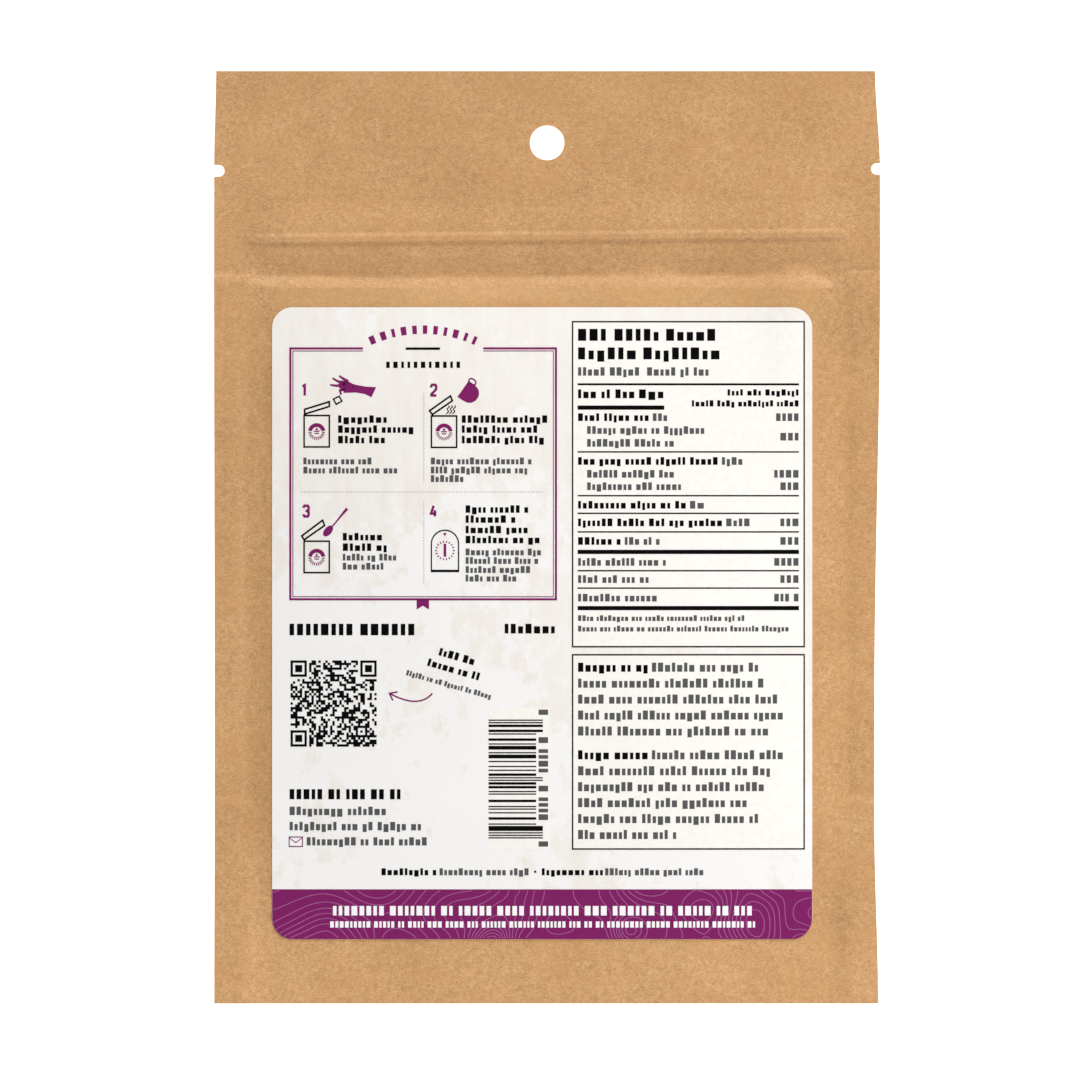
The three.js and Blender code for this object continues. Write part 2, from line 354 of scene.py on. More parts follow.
def pouch_mesh():
    """Two films on one grid of columns and rows, each moved to its edges and heights, with rings that blend
    from the hang hole's circle to a square of the grid, joined by walls at the outline and at the hole."""
    columns, rows = pouch_stations()
    across, down = np.meshgrid(columns, rows)
    half = np.where(across < 0, edge_at(down, "left"), edge_at(down, "right"))
    bite = np.where(across < 0, notch_bite(down, "left"), notch_bite(down, "right"))
    shift = np.sign(across) * bite * np.clip((np.abs(across) - HALF_WIDTH) / NOTCH_REACH + 1, 0, 1)
    x, y = across * half / HALF_WIDTH - shift, down

    left, right = (int(np.argmin(np.abs(columns - s * HOLE_WINDOW))) for s in (-1, 1))
    low, high = (int(np.argmin(np.abs(rows - HOLE_Y - s * HOLE_WINDOW))) for s in (-1, 1))
    keep_point = np.ones(x.shape, dtype=bool)
    keep_point[low + 1:high, left + 1:right] = False
    keep_cell = np.ones((x.shape[0] - 1, x.shape[1] - 1), dtype=bool)
    keep_cell[low:high, left:right] = False
    number = np.cumsum(keep_point.ravel()) - 1

    window = np.arange(x.size).reshape(x.shape)[low:high + 1, left:right + 1]
    square = window.ravel()[border(*window.shape)]
    square_x, square_y = x.ravel()[square], y.ravel()[square]
    turn = np.arctan2(square_y - HOLE_Y, square_x)
    blend = np.linspace(0, 1, HOLE_RINGS)[:-1, None]
    ring_x = (1 - blend) * HOLE_RADIUS * np.cos(turn) + blend * square_x
    ring_y = HOLE_Y + (1 - blend) * HOLE_RADIUS * np.sin(turn) + blend * (square_y - HOLE_Y)

    flat_x = np.concatenate([x.ravel()[keep_point.ravel()], ring_x.ravel()])
    flat_y = np.concatenate([y.ravel()[keep_point.ravel()], ring_y.ravel()])
    count, grid_count = len(flat_x), int(keep_point.sum())
    rings = np.concatenate([grid_count + np.arange(ring_x.size), number[square]]).reshape(HOLE_RINGS, -1)
    cells = number[grid_quads(*x.shape)[keep_cell.ravel()]]
    next_rings = np.roll(rings, -1, axis=1)
    ring_cells = np.stack([rings[:-1], rings[1:], next_rings[1:], next_rings[:-1]], axis=-1).reshape(-1, 4)
    film = np.concatenate([cells, ring_cells])

    outline = number[border(*x.shape)]
    hole = rings[0][::-1]
    edge_faces = np.concatenate([walls(outline + count, outline), walls(hole + count, hole)])
    quads = np.concatenate([film, film[:, ::-1] + count, edge_faces])
    back = np.stack([flat_x, flat_y, kraft_back(flat_x, flat_y)], axis=-1)
    front = np.stack([flat_x, flat_y, kraft_front(flat_x, flat_y)], axis=-1)
    finishes = np.concatenate([np.zeros(2 * len(film)), np.ones(len(edge_faces))])
    return np.concatenate([back, front]), quads, finishes


def sheets(x, y, top, bottom, wrap=False):
    """Thin closed sheets that lie on the label, from arrays of places of shape (sheets, down, across): a
    top and an underside at two heights over the label's face, and walls between them. With wrap, the last
    column joins the first, which makes a ring."""
    count, down, across = x.shape
    face = label_face(x, y)
    upper = np.stack([x, y, face + top], axis=-1).reshape(count, -1, 3)
    lower = np.stack([x, y, face + bottom], axis=-1).reshape(count, -1, 3)
    points = np.concatenate([upper, lower], axis=1)
    size = down * across
    cells = grid_quads(down, across, wrap)
    if wrap:
        loop = np.arange(across)
        back = loop[::-1] + size - across
        sides = [walls(loop + size, loop), walls(back + size, back)]
    else:
        loop = border(down, across)
        sides = [walls(loop + size, loop)]
    one = np.concatenate([cells, cells[:, ::-1] + size] + sides)
    quads = (one[None] + (np.arange(count) * 2 * size)[:, None, None]).reshape(-1, 4)
    return points.reshape(-1, 3), quads


def joined(meshes):
    """Several (points, quads) pairs as one, each pair's numbers moved past the points before it."""
    starts = np.cumsum([0] + [len(points) for points, _ in meshes[:-1]])
    points = np.concatenate([points for points, _ in meshes])
    quads = np.concatenate([quads + start for (_, quads), start in zip(meshes, starts)])
    return points, quads


LABEL_ROWS, LABEL_COLUMNS, CORNER_ROWS = 112, 101, 9


def label_mesh():
    """A rounded rectangle as a grid whose rows shrink at the corners by the circle's formula, laid on the
    film: its face is the label's thickness above the gap, and its underside is at the gap."""
    corner = LABEL_CORNER * (1 - np.cos(np.linspace(0, math.pi / 2, CORNER_ROWS)))
    down = np.concatenate([
        corner,
        np.linspace(LABEL_CORNER, LABEL_LENGTH - LABEL_CORNER, LABEL_ROWS)[1:-1],
        LABEL_LENGTH - corner[::-1],
    ])[::-1]
    inset = rounded_inset(down)
    along = np.linspace(0, 1, LABEL_COLUMNS)
    x = LABEL_LEFT + inset[:, None] + (LABEL_WIDTH - 2 * inset[:, None]) * along[None, :]
    y = (LABEL_TOP - down)[:, None] + 0 * along[None, :]
    return sheets(x[None], y[None], 0.0, -LABEL_THICKNESS)


def rounded_inset(down):
    """How far the label's side stands in at each distance down: within a corner's radius of either end, the
    radius less the root of its square less the square of how far past the corner's centre the place is."""
    past = np.clip(LABEL_CORNER - np.minimum(down, LABEL_LENGTH - down), 0, None)
    return LABEL_CORNER - np.sqrt(np.clip(LABEL_CORNER**2 - past**2, 0, None))


# ---------------------------------------------------------------- materials
def node_group(name, inputs, outputs):
    """An empty shader node group with named inputs (name, kind, default) and outputs (name, kind)."""
    group = bpy.data.node_groups.new(name, "ShaderNodeTree")
    for label, kind, default in inputs:
        socket = group.interface.new_socket(name=label, in_out="INPUT", socket_type=kind)
        if default is not None:
            socket.default_value = default
    for label, kind in outputs:
        group.interface.new_socket(name=label, in_out="OUTPUT", socket_type=kind)
    return group, group.nodes.new("NodeGroupInput"), group.nodes.new("NodeGroupOutput")


def noise(tree, vector, scale, detail=2.0, roughness=0.5, stretch=None, turn=0.0):
    """A noise texture's value on object coordinates, which may be stretched and turned about Z."""
    if stretch:
        mapping = tree.nodes.new("ShaderNodeMapping")
        mapping.inputs["Scale"].default_value = stretch
        mapping.inputs["Rotation"].default_value = (0, 0, turn)
        tree.links.new(vector, mapping.inputs["Vector"])
        vector = mapping.outputs["Vector"]
    node = tree.nodes.new("ShaderNodeTexNoise")
    node.inputs["Detail"].default_value = detail
    node.inputs["Roughness"].default_value = roughness
    tree.links.new(vector, node.inputs["Vector"])
    feed(tree, node.inputs["Scale"], scale)
    return node.outputs["Fac"]


def feed(tree, socket, value):
    """Put a number, a colour or another node's output into a socket."""
    if isinstance(value, tuple):
        socket.default_value = (*value, 1.0)
    elif isinstance(value, (int, float)):
        socket.default_value = value
    else:
        tree.links.new(value, socket)


def maths(tree, operation, *operands):
    """One Math node; each operand is a number or another node's output."""
    node = tree.nodes.new("ShaderNodeMath")
    node.operation = operation
    for socket, value in zip(node.inputs, operands):
        feed(tree, socket, value)
    return node.outputs[0]


def between(tree, value, low, high, to_low=0.0, to_high=1.0):
    """A Map Range node, clamped."""
    node = tree.nodes.new("ShaderNodeMapRange")
    tree.links.new(value, node.inputs["Value"])
    for label, number in zip(("From Min", "From Max", "To Min", "To Max"), (low, high, to_low, to_high)):
        node.inputs[label].default_value = number
    return node.outputs["Result"]


def blend_colours(tree, amount, first, second):
    """A Mix node of two colours; each is a colour or another node's output."""
    node = tree.nodes.new("ShaderNodeMix")
    node.data_type = "RGBA"
    tree.links.new(amount, node.inputs["Factor"])
    for socket, value in zip(node.inputs[6:8], (first, second)):
        feed(tree, socket, value)
    return node.outputs[2]


def paper_fibre_group():
    """Short paper fibres: two fine noises stretched across each other over a third even one. Mottle is the
    cloudiness of the pulp, Fibre the strands, and Height the surface's tooth."""
    group, start, end = node_group(
        "paper_fibre",
        [("Vector", "NodeSocketVector", None), ("Strand scale", "NodeSocketFloat", 1500.0),
         ("Cloud scale", "NodeSocketFloat", 300.0)],
        [("Fibre", "NodeSocketFloat"), ("Mottle", "NodeSocketFloat"), ("Height", "NodeSocketFloat")],
    )
    vector, strand, cloud = (start.outputs[i] for i in range(3))
    leaning = noise(group, vector, strand, 2.0, 0.6, (0.6, 1.2, 1.0), 0.7)
    crossing = noise(group, vector, strand, 2.0, 0.6, (0.6, 1.2, 1.0), -0.8)
    even = noise(group, vector, strand, 3.0, 0.7)
    strands = maths(group, "MULTIPLY_ADD", maths(group, "ADD", leaning, crossing), 0.3,
                    maths(group, "MULTIPLY", even, 0.4))
    clouds = noise(group, vector, cloud, 4.0, 0.6)
    group.links.new(strands, end.inputs["Fibre"])
    group.links.new(clouds, end.inputs["Mottle"])
    group.links.new(maths(group, "MULTIPLY_ADD", clouds, 0.4, strands), end.inputs["Height"])
    return group


PAPER_FIBRE = paper_fibre_group()


def new_finish(name, roughness=None, gloss=0.5):
    """A material with a Principled shader, its object coordinates and a Bump node, all linked up."""
    material = bpy.data.materials.new(name)
    material.use_nodes = True
    tree = material.node_tree
    shader = tree.nodes["Principled BSDF"]
    shader.inputs["Specular IOR Level"].default_value = gloss
    if roughness is not None:
        shader.inputs["Roughness"].default_value = roughness
    vector = tree.nodes.new("ShaderNodeTexCoord").outputs["Object"]
    bump = tree.nodes.new("ShaderNodeBump")
    tree.links.new(bump.outputs["Normal"], shader.inputs["Normal"])
    return material, tree, shader, vector, bump


def paper_finish(name, scales, tooth, roughness=None, gloss=0.5):
    """A new finish with paper fibres at two scales, of strands and clouds. Their height goes to the bump,
    with the tooth's strength and its distance in metres."""
    material, tree, shader, vector, bump = new_finish(name, roughness, gloss)
    node = tree.nodes.new("ShaderNodeGroup")
    node.node_tree = PAPER_FIBRE
    tree.links.new(vector, node.inputs["Vector"])
    node.inputs["Strand scale"].default_value, node.inputs["Cloud scale"].default_value = scales
    tree.links.new(node.outputs["Height"], bump.inputs["Height"])
    bump.inputs["Strength"].default_value, bump.inputs["Distance"].default_value = tooth
    return material, tree, shader, vector, node.outputs["Fibre"], node.outputs["Mottle"]


def object_place(tree, vector):
    """The object coordinates one by one, as outputs named X, Y and Z."""
    node = tree.nodes.new("ShaderNodeSeparateXYZ")
    tree.links.new(vector, node.inputs["Vector"])
    return node.outputs


LABEL_GREY, LABEL_PALE, LABEL_BEIGE = (0.812, 0.797, 0.783), (0.802, 0.776, 0.746), (0.757, 0.708, 0.652)
KRAFT_TONES = ((0.12, (0.373, 0.193, 0.076)), (0.5, (0.515, 0.286, 0.124)), (0.88, (0.662, 0.392, 0.191)))
KRAFT_FLECK, KRAFT_RUST, KRAFT_RECTANGLE_TONE = (0.27, 0.13, 0.055), (0.530, 0.272, 0.108), (0.548, 0.322, 0.128)
FLECK_STRENGTH, RUST_STRENGTH, RECTANGLE_TONE_STRENGTH = 0.5, 0.40, 0.3
RECTANGLE_TONE_EDGES = (  # axis, and in metres where the yellower rectangle round the label has not begun and where it is full
    ("Y", 0.0528, 0.0525), ("X", -0.0564, -0.0560), ("X", 0.0572, 0.0568), ("Y", -0.05, 0.03),
)


def kraft_finish():
    """Brown kraft paper: two sizes of cloudiness and its strands choose a colour from dark to light, and
    scattered dark flecks of bark and redder patches deepen it. Round the label a rectangle is a little
    yellower and evener, its top edge along the lower edge of the zip's highlight; it fades down the pouch."""
    material, tree, shader, vector, fibre, mottle = paper_finish(
        "kraft_paper", (2800.0, 850.0), (0.35, 0.00012), gloss=0.3)
    broad = noise(tree, vector, 60.0, 4.0, 0.6)
    tone = 0.5
    for pattern, weight in ((fibre, 2.25), (mottle, 0.8), (broad, 0.55)):
        tone = maths(tree, "MULTIPLY_ADD", maths(tree, "SUBTRACT", pattern, 0.5), weight, tone)
    ramp_node = tree.nodes.new("ShaderNodeValToRGB")
    ramp_node.color_ramp.elements.new(0.5)
    for element, (position, colour) in zip(ramp_node.color_ramp.elements, KRAFT_TONES):
        element.position, element.color = position, (*colour, 1)
    tree.links.new(tone, ramp_node.inputs["Fac"])
    fleck = between(tree, noise(tree, vector, 1500.0, 2.0, 0.6), 0.64, 0.74)
    colour = blend_colours(tree, maths(tree, "MULTIPLY", fleck, FLECK_STRENGTH), ramp_node.outputs["Color"],
                           KRAFT_FLECK)
    rusty = between(tree, noise(tree, vector, 130.0, 4.0, 0.65), 0.40, 0.68, 0.0, RUST_STRENGTH)
    colour = blend_colours(tree, rusty, colour, KRAFT_RUST)
    # A yellower, evener tone inside a rectangle round the label, fading down the pouch; its top edge lies
    # along the lower edge of the zip's highlight
    place, rectangle_tone = object_place(tree, vector), RECTANGLE_TONE_STRENGTH
    for axis, outside, inside in RECTANGLE_TONE_EDGES:
        rectangle_tone = maths(tree, "MULTIPLY", between(tree, place[axis], outside, inside), rectangle_tone)
    colour = blend_colours(tree, rectangle_tone, colour, KRAFT_RECTANGLE_TONE)
    tree.links.new(colour, shader.inputs["Base Color"])
    tree.links.new(between(tree, mottle, 0.2, 0.8, 0.52, 0.68), shader.inputs["Roughness"])
    return material


def cut_edge_finish():
    """The pouch's cut edge: pale film over kraft, in thin layers."""
    material, tree, shader, _, fibre, _ = paper_finish("cut_film_edge", (1900.0, 600.0), (0.3, 0.0001), 0.5)
    colour = blend_colours(tree, between(tree, fibre, 0.35, 0.65), (0.50, 0.31, 0.16), (0.66, 0.50, 0.34))
    tree.links.new(colour, shader.inputs["Base Color"])
    return material


def label_finish():
    """Coated label paper printed with a faint pattern of worn plaster: flat pale grey, chipped away in
    ragged patches, more of them towards the top, to a cloudy beige with fine brush strokes down it."""
    material, tree, shader, vector, fibre, _ = paper_finish(
        "label_paper", (2600.0, 700.0), (0.12, 0.00005), gloss=0.2)
    chips = noise(tree, vector, 210.0, 8.0, 0.74, (1.0, 0.75, 1.0), 0.25)
    clouds = noise(tree, vector, 26.0, 2.0, 0.5)
    strokes = noise(tree, vector, 420.0, 3.0, 0.6, (1.0, 0.16, 1.0), 0.05)
    bare = maths(tree, "MULTIPLY_ADD", clouds, 0.55, maths(tree, "MULTIPLY", chips, 0.75))
    upper = between(tree, object_place(tree, vector)["Y"], -0.05, 0.045, -0.02, 0.12)
    bare = between(tree, maths(tree, "ADD", bare, upper), 0.655, 0.70)
    beige = maths(tree, "MULTIPLY_ADD", chips, 0.5, maths(tree, "MULTIPLY", strokes, 0.5))
    beige = blend_colours(tree, between(tree, beige, 0.36, 0.66), LABEL_PALE, LABEL_BEIGE)
    tree.links.new(blend_colours(tree, bare, LABEL_GREY, beige), shader.inputs["Base Color"])
    tree.links.new(between(tree, fibre, 0.3, 0.7, 0.50, 0.60), shader.inputs["Roughness"])
    return material


def floor_finish():
    """A white studio table, lit faintly from inside, so that it stays white under the pouch's edges."""
    material, tree, shader, vector, bump = new_finish("studio_floor", roughness=0.9, gloss=0.0)
    speckle = noise(tree, vector, 40.0, 2.0)
    colour = blend_colours(tree, speckle, (0.97, 0.97, 0.97), (0.985, 0.985, 0.985))
    tree.links.new(colour, shader.inputs["Base Color"])
    shader.inputs["Emission Color"].default_value = (1, 1, 1, 1)
    shader.inputs["Emission Strength"].default_value = 0.8
    tree.links.new(speckle, bump.inputs["Height"])
    bump.inputs["Strength"].default_value = 0.02
    return material


def ink_finish(name, colour, thin_colour, roughness=0.45, gloss=0.15):
    """Printing ink on the label: even, but thinner in the cloudy parts of the paper, with its tooth."""
    material, tree, shader, _, fibre, mottle = paper_finish(
        name, (2600.0, 700.0), (0.1, 0.00004), roughness, gloss)
    pulp = maths(tree, "MULTIPLY_ADD", fibre, 0.5, maths(tree, "MULTIPLY", mottle, 0.5))
    colour = blend_colours(tree, between(tree, pulp, 0.42, 0.68), colour, thin_colour)
    tree.links.new(colour, shader.inputs["Base Color"])
    return material


INKS = {
    "cream": ink_finish("cream_ground", (0.850, 0.828, 0.792), (0.790, 0.751, 0.695), 0.5, 0.3),
    "band": ink_finish("purple_band", (0.180, 0.0085, 0.102), (0.190, 0.0105, 0.110)),
    "purple": ink_finish("purple_ink", (0.180, 0.0085, 0.102), (0.190, 0.0110, 0.110)),
    "black": ink_finish("black_ink", (0.0010, 0.0010, 0.0011), (0.0025, 0.0025, 0.0027), gloss=0.05),
    "soft": ink_finish("small_type_ink", (0.078, 0.078, 0.080), (0.105, 0.104, 0.106), gloss=0.05),
    "grey": ink_finish("grey_ink", (0.400, 0.400, 0.415), (0.500, 0.500, 0.510)),
    "line": ink_finish("contour_ink", (0.310, 0.088, 0.232), (0.340, 0.110, 0.258)),
    "white": ink_finish("white_ink", (0.850, 0.835, 0.845), (0.810, 0.785, 0.800), 0.5, 0.3),
}

points, quads, numbers = pouch_mesh()
new_piece("kraft_pouch", points, quads, [kraft_finish(), cut_edge_finish()], "pouch", numbers)
points, quads = label_mesh()
new_piece("paper_label", points, quads, [label_finish()], "back_label")

# ---------------------------------------------------------------- the label's print
# How far each ink's face stands over the label's, and how far every ink is sunk into it, in millimetres
INK_LIFT = {"cream": 0.015, "band": 0.02, "purple": 0.035, "black": 0.035, "soft": 0.035, "grey": 0.035,
            "line": 0.035, "white": 0.05}
INK_SUNK = -0.03
CELL = 1.4  # the longest step between an ink's points
printed = {ink: [] for ink in INK_LIFT}


def lay(ink, across, down, wrap=False):
    """Sheets of ink from arrays of label places of shape (sheets, down, across). A sheet whose first cell
    runs clockwise has its columns turned round."""
    x, y = LABEL_LEFT + across, LABEL_TOP - down
    step_x, step_y = x[:, 0, 1] - x[:, 0, 0], y[:, 0, 1] - y[:, 0, 0]
    rise_x, rise_y = x[:, 1, 0] - x[:, 0, 0], y[:, 1, 0] - y[:, 0, 0]
    clockwise = (step_x * rise_y - step_y * rise_x < 0)[:, None, None]
    x, y = (np.where(clockwise, value[:, :, ::-1], value) for value in (x, y))
    printed[ink].append(sheets(x, y, INK_LIFT[ink], INK_SUNK, wrap))


def lay_field(ink, left, top, right, bottom):
    """A plain rectangle of ink on an even grid."""
    columns = np.linspace(left, right, int((right - left) / CELL) + 2)
    rows = np.linspace(top, bottom, int((bottom - top) / CELL) + 2)
    across, down = np.meshgrid(columns, rows)
    lay(ink, across[None], down[None])


def lay_rule(ink, left, right, down, thickness):
    """A level line of ink: a rectangle with half its thickness above the middle and half below."""
    lay_field(ink, left, down - thickness / 2, right, down + thickness / 2)


def dense(points, closed=False):
    """A path's corners with even points added between them, no further apart than a cell."""
    points = np.asarray(points, dtype=float)
    if closed:
        points = np.concatenate([points, points[:1]])
    gaps = np.hypot(*np.diff(points, axis=0).T)
    counts = np.maximum(1, np.ceil(gaps / CELL)).astype(int)
    spans = [a + (b - a) * np.linspace(0, 1, n, endpoint=False)[:, None]
             for a, b, n in zip(points[:-1], points[1:], counts)]
    return np.concatenate(spans if closed else spans + [points[-1:]])


def lay_stroke(ink, paths, width, closed=False):
    """Lines of ink along paths of shape (lines, points, 2): each point is moved to both sides by half the
    width, along the mean of its two stretches' normals, times one over the cosine of half the turn."""
    paths = np.asarray(paths, dtype=float)
    if paths.ndim == 2:
        paths = paths[None]
    if closed:
        ahead = np.roll(paths, -1, axis=1) - paths
        behind = np.roll(ahead, 1, axis=1)
    else:
        spans = np.diff(paths, axis=1)
        ahead = np.concatenate([spans, spans[:, -1:]], axis=1)
        behind = np.concatenate([spans[:, :1], spans], axis=1)
    ahead, behind = (way / np.linalg.norm(way, axis=-1, keepdims=True) for way in (ahead, behind))
    mean = ahead + behind
    mean = mean / np.linalg.norm(mean, axis=-1, keepdims=True)
    stretch = 1 / np.clip((mean * ahead).sum(axis=-1), 0.45, 1.0)
    normal = np.stack([-mean[..., 1], mean[..., 0]], axis=-1) * stretch[..., None]
    half = np.asarray(width, dtype=float) / 2
    half = half[..., None] if half.ndim else half
    sides = np.stack([paths - normal * half, paths + normal * half], axis=1)
    lay(ink, sides[..., 0], sides[..., 1], wrap=closed)


def lay_box(ink, left, top, right, bottom, width):
    """A rectangle's outline: a closed line through its four corners."""
    corners = [(left, top), (right, top), (right, bottom), (left, bottom)]
    lay_stroke(ink, dense(corners, closed=True), width, closed=True)


def circle_path(centre, radius, count, across=None, tilt=0.0, start=0.0, sweep=2 * math.pi):
    """Points round a circle, or round an oval whose second radius is across, turned by the tilt."""
    turn = start + np.linspace(0, sweep, count, endpoint=abs(sweep) < 2 * math.pi - 1e-9)
    u, v = radius * np.cos(turn), (across or radius) * np.sin(turn)
    return np.stack([centre[0] + u * math.cos(tilt) - v * math.sin(tilt),
                     centre[1] + u * math.sin(tilt) + v * math.cos(tilt)], axis=-1)


def spokes(centre, turns, inner, outer):
    """Short lines outwards from a centre, one at each turn, from one radius to another."""
    ways = np.stack([np.cos(turns), np.sin(turns)], axis=-1)
    return np.stack([np.array(centre) + radius * ways for radius in (inner, outer)], axis=1)


def lay_disc(ink, centre, radius, across=None, tilt=0.0, cells=8):
    """A filled circle or oval: a square grid pressed into a circle, where each place (u, v) moves to u
    times the root of one less half v squared, and v times the root of one less half u squared."""
    side = np.linspace(-1, 1, cells + 1)
    u, v = np.meshgrid(side, side)
    out = radius * u * np.sqrt(1 - v * v / 2)
    off = (across or radius) * v * np.sqrt(1 - u * u / 2)
    lay(ink, (centre[0] + out * math.cos(tilt) - off * math.sin(tilt))[None],
        (centre[1] + out * math.sin(tilt) + off * math.cos(tilt))[None])


def lay_between(ink, first, second, steps=6):
    """The ink between two edges with as many points each, on straight lines from one edge to the other."""
    first, second = np.asarray(first, dtype=float), np.asarray(second, dtype=float)
    blend = np.linspace(0, 1, steps)[:, None, None]
    grid = first[None] * (1 - blend) + second[None] * blend
    lay(ink, grid[None, ..., 0], grid[None, ..., 1])


draw_type = np.random.default_rng(5)
LIGHT, BOLD = "light", "bold"
TYPE_INK = {LIGHT: "soft", BOLD: "black"}
# In shares of the capital height: a block's width, the gap after it, what more there is after a word and
# what that comes to for each block, a low block's top and a deep one's foot
BLOCK_WIDTHS = {LIGHT: (0.36, 0.46, 0.56), BOLD: (0.36, 0.48, 0.60)}
BLOCK_GAP = {LIGHT: 0.20, BOLD: 0.24}
WORD_GAP, WORD_SHARE, LOW_TOP, DEEP_FOOT = 0.40, 0.08, 0.74, -0.20
TALL_BELOW, DEEP_ABOVE = 0.28, 0.92  # of a random number from 0 to 1 for each block


def lay_type(place, length, cap, weight=LIGHT, capitals=False, spacing=0.0, ink=None):
    """Solid blocks that stand for a line of type and are no letters: of random widths and of two heights,
    some reaching below the line, gathered into words of two to eight and stretched to fill the length. The
    placing moves (along, up from the line's middle) to the label."""
    widths = cap * np.array(BLOCK_WIDTHS[weight])
    pitch = widths.mean() + cap * BLOCK_GAP[weight] + spacing + WORD_SHARE * cap
    count = max(1, round(length / pitch))
    width = draw_type.choice(widths, count)
    word_ends = np.isin(np.arange(count), np.cumsum(draw_type.integers(2, 9, count))) & (spacing == 0)
    gap = BLOCK_GAP[weight] * cap + spacing + np.where(word_ends, WORD_GAP * cap, 0.0)
    stop = np.cumsum(width + gap) - gap
    start, stop = (stop - width) * length / stop[-1], stop * length / stop[-1]
    kind = draw_type.random(count)
    kind[0] = 0.0
    top = np.where(capitals | (kind < TALL_BELOW), cap, LOW_TOP * cap)
    foot = np.where((not capitals) & (kind > DEEP_ABOVE), DEEP_FOOT * cap, 0.0)
    along = np.stack([start, stop], axis=-1)[:, None].repeat(2, axis=1)
    up = np.stack([foot, top], axis=-1)[:, :, None].repeat(2, axis=2) - cap / 2
    lay(ink or TYPE_INK[weight], *place(along, up))


def straight(left, middle, angle=0.0):
    """A placing for a line of type that starts at left, a distance middle down, and falls by the angle."""
    cosine, sine = math.cos(angle), math.sin(angle)
    return lambda along, up: (left + along * cosine + up * sine, middle + along * sine - up * cosine)


def arched(centre, radius, length):
    """A placing for a line of type bent over an arch round the centre, with its middle at the top."""
    def place(along, up):
        turn = (along - length / 2) / radius
        return centre[0] + (radius + up) * np.sin(turn), centre[1] - (radius + up) * np.cos(turn)
    return place


def lay_lines(left, cap, weight, lines, capitals=False):
    """Level lines of type under each other, each given by its middle and its length."""
    for middle, length in lines:
        lay_type(straight(left, middle), length, cap, weight, capitals)


# The purple frame of the preparation steps, with a gap at the top for its arched title, and its ribbon
FRAME_LEFT, FRAME_TOP, FRAME_RIGHT, FRAME_FOOT = 3.85, 8.65, 59.65, 61.35
GAP_LEFT, GAP_RIGHT = 19.1, 44.4
for inset, thickness in ((0.0, 0.44), (0.54, 0.17)):
    left, top = FRAME_LEFT + inset, FRAME_TOP + inset
    right, foot = FRAME_RIGHT - inset, FRAME_FOOT - inset
    corners = [(GAP_LEFT, top), (left, top), (left, foot), (right, foot), (right, top), (GAP_RIGHT, top)]
    lay_stroke("purple", dense(corners), thickness)
FRAME_MIDDLE, RIBBON_HALF = 31.7, 1.3
for tip in (FRAME_MIDDLE - RIBBON_HALF, FRAME_MIDDLE + RIBBON_HALF):
    lay_between("purple", [(FRAME_MIDDLE, FRAME_FOOT), (FRAME_MIDDLE, 62.7)],
                [(tip, FRAME_FOOT), (tip, 63.5)], 3)

ARCH_LENGTH = 23.0
arch = arched((FRAME_MIDDLE, 31.6), 26.9, ARCH_LENGTH)
lay_type(arch, ARCH_LENGTH, 1.75, BOLD, True, 0.75, "purple")
lay_rule("black", 28.1, 35.3, 8.7, 0.5)
lay_type(straight(24.0, 12.1), 15.5, 1.3, BOLD, True, 0.35)

# Dotted dividers between the steps
DOT, DOT_PITCH = 0.23, 0.58
dots = [(31.9, down) for start, stop in ((18.1, 36.8), (40.9, 58))
        for down in np.arange(start, stop, DOT_PITCH)]
dots = np.array(dots + [(across, 38.8) for across in np.arange(6.3, 57.3, DOT_PITCH)])
corner = DOT * np.array([[-0.5, 0.5], [-0.5, 0.5]])
lay("grey", dots[:, 0, None, None] + corner, dots[:, 1, None, None] + corner.T)

# Step numerals, in strokes on a unit box
NUMERALS = {
    "1": [[(0.1, 0.14), (0.5, 0.03), (0.5, 1.0)]],
    "2": [[(0.05, 0.25), (0.05, 0.12), (0.2, 0.0), (0.8, 0.0), (0.95, 0.12), (0.95, 0.42), (0.1, 0.88),
           (0.1, 1.0), (1.0, 1.0)]],
    "3": [[(0.05, 0.2), (0.05, 0.12), (0.2, 0.0), (0.8, 0.0), (0.95, 0.12), (0.95, 0.38), (0.78, 0.49),
           (0.95, 0.6), (0.95, 0.88), (0.8, 1.0), (0.2, 1.0), (0.05, 0.88), (0.05, 0.8)],
          [(0.4, 0.49), (0.78, 0.49)]],
    "4": [[(0.5, 0.0), (0.02, 0.73), (1.0, 0.73)], [(0.72, 0.42), (0.72, 1.0)]],
}
NUMERAL_SIZE, NUMERAL_STROKE = (1.15, 2.25), 0.52
for numeral, left, top in (("1", 6.3, 16.3), ("2", 33.4, 16.3), ("3", 6.6, 41.7), ("4", 33.4, 41.7)):
    for path in NUMERALS[numeral]:
        lay_stroke("purple", np.array(path) * NUMERAL_SIZE + (left, top), NUMERAL_STROKE)


PACKET_WIDTH, PACKET_HEIGHT = 5.3, 6.6


def lay_packet(left, top, lid):
    """A small drawn packet with its torn-off strip, the lid, tilted over it and a plain round stamp: a
    filled upper rim, short rays round the lower rim, and two bars and a dot in the middle."""
    lay_box("black", left, top, left + PACKET_WIDTH, top + PACKET_HEIGHT, 0.33)
    lay_stroke("black", dense(lid, closed=True), 0.36, closed=True)
    stamp = (left + PACKET_WIDTH / 2, top + 3.4)
    rim = [circle_path(stamp, radius, 19, start=1.04 * math.pi, sweep=0.92 * math.pi)
           for radius in (1.0, 1.8)]
    lay_between("purple", *rim, 4)
    lay_stroke("purple", spokes(stamp, np.linspace(0.04, 0.96, 11) * math.pi, 1.12, 1.75), 0.2)
    for down, half in ((-0.1, 0.62), (0.35, 0.46)):
        lay_rule("purple", stamp[0] - half, stamp[0] + half, stamp[1] + down, 0.22)
    lay_disc("purple", (stamp[0], stamp[1] - 0.52), 0.24, cells=4)


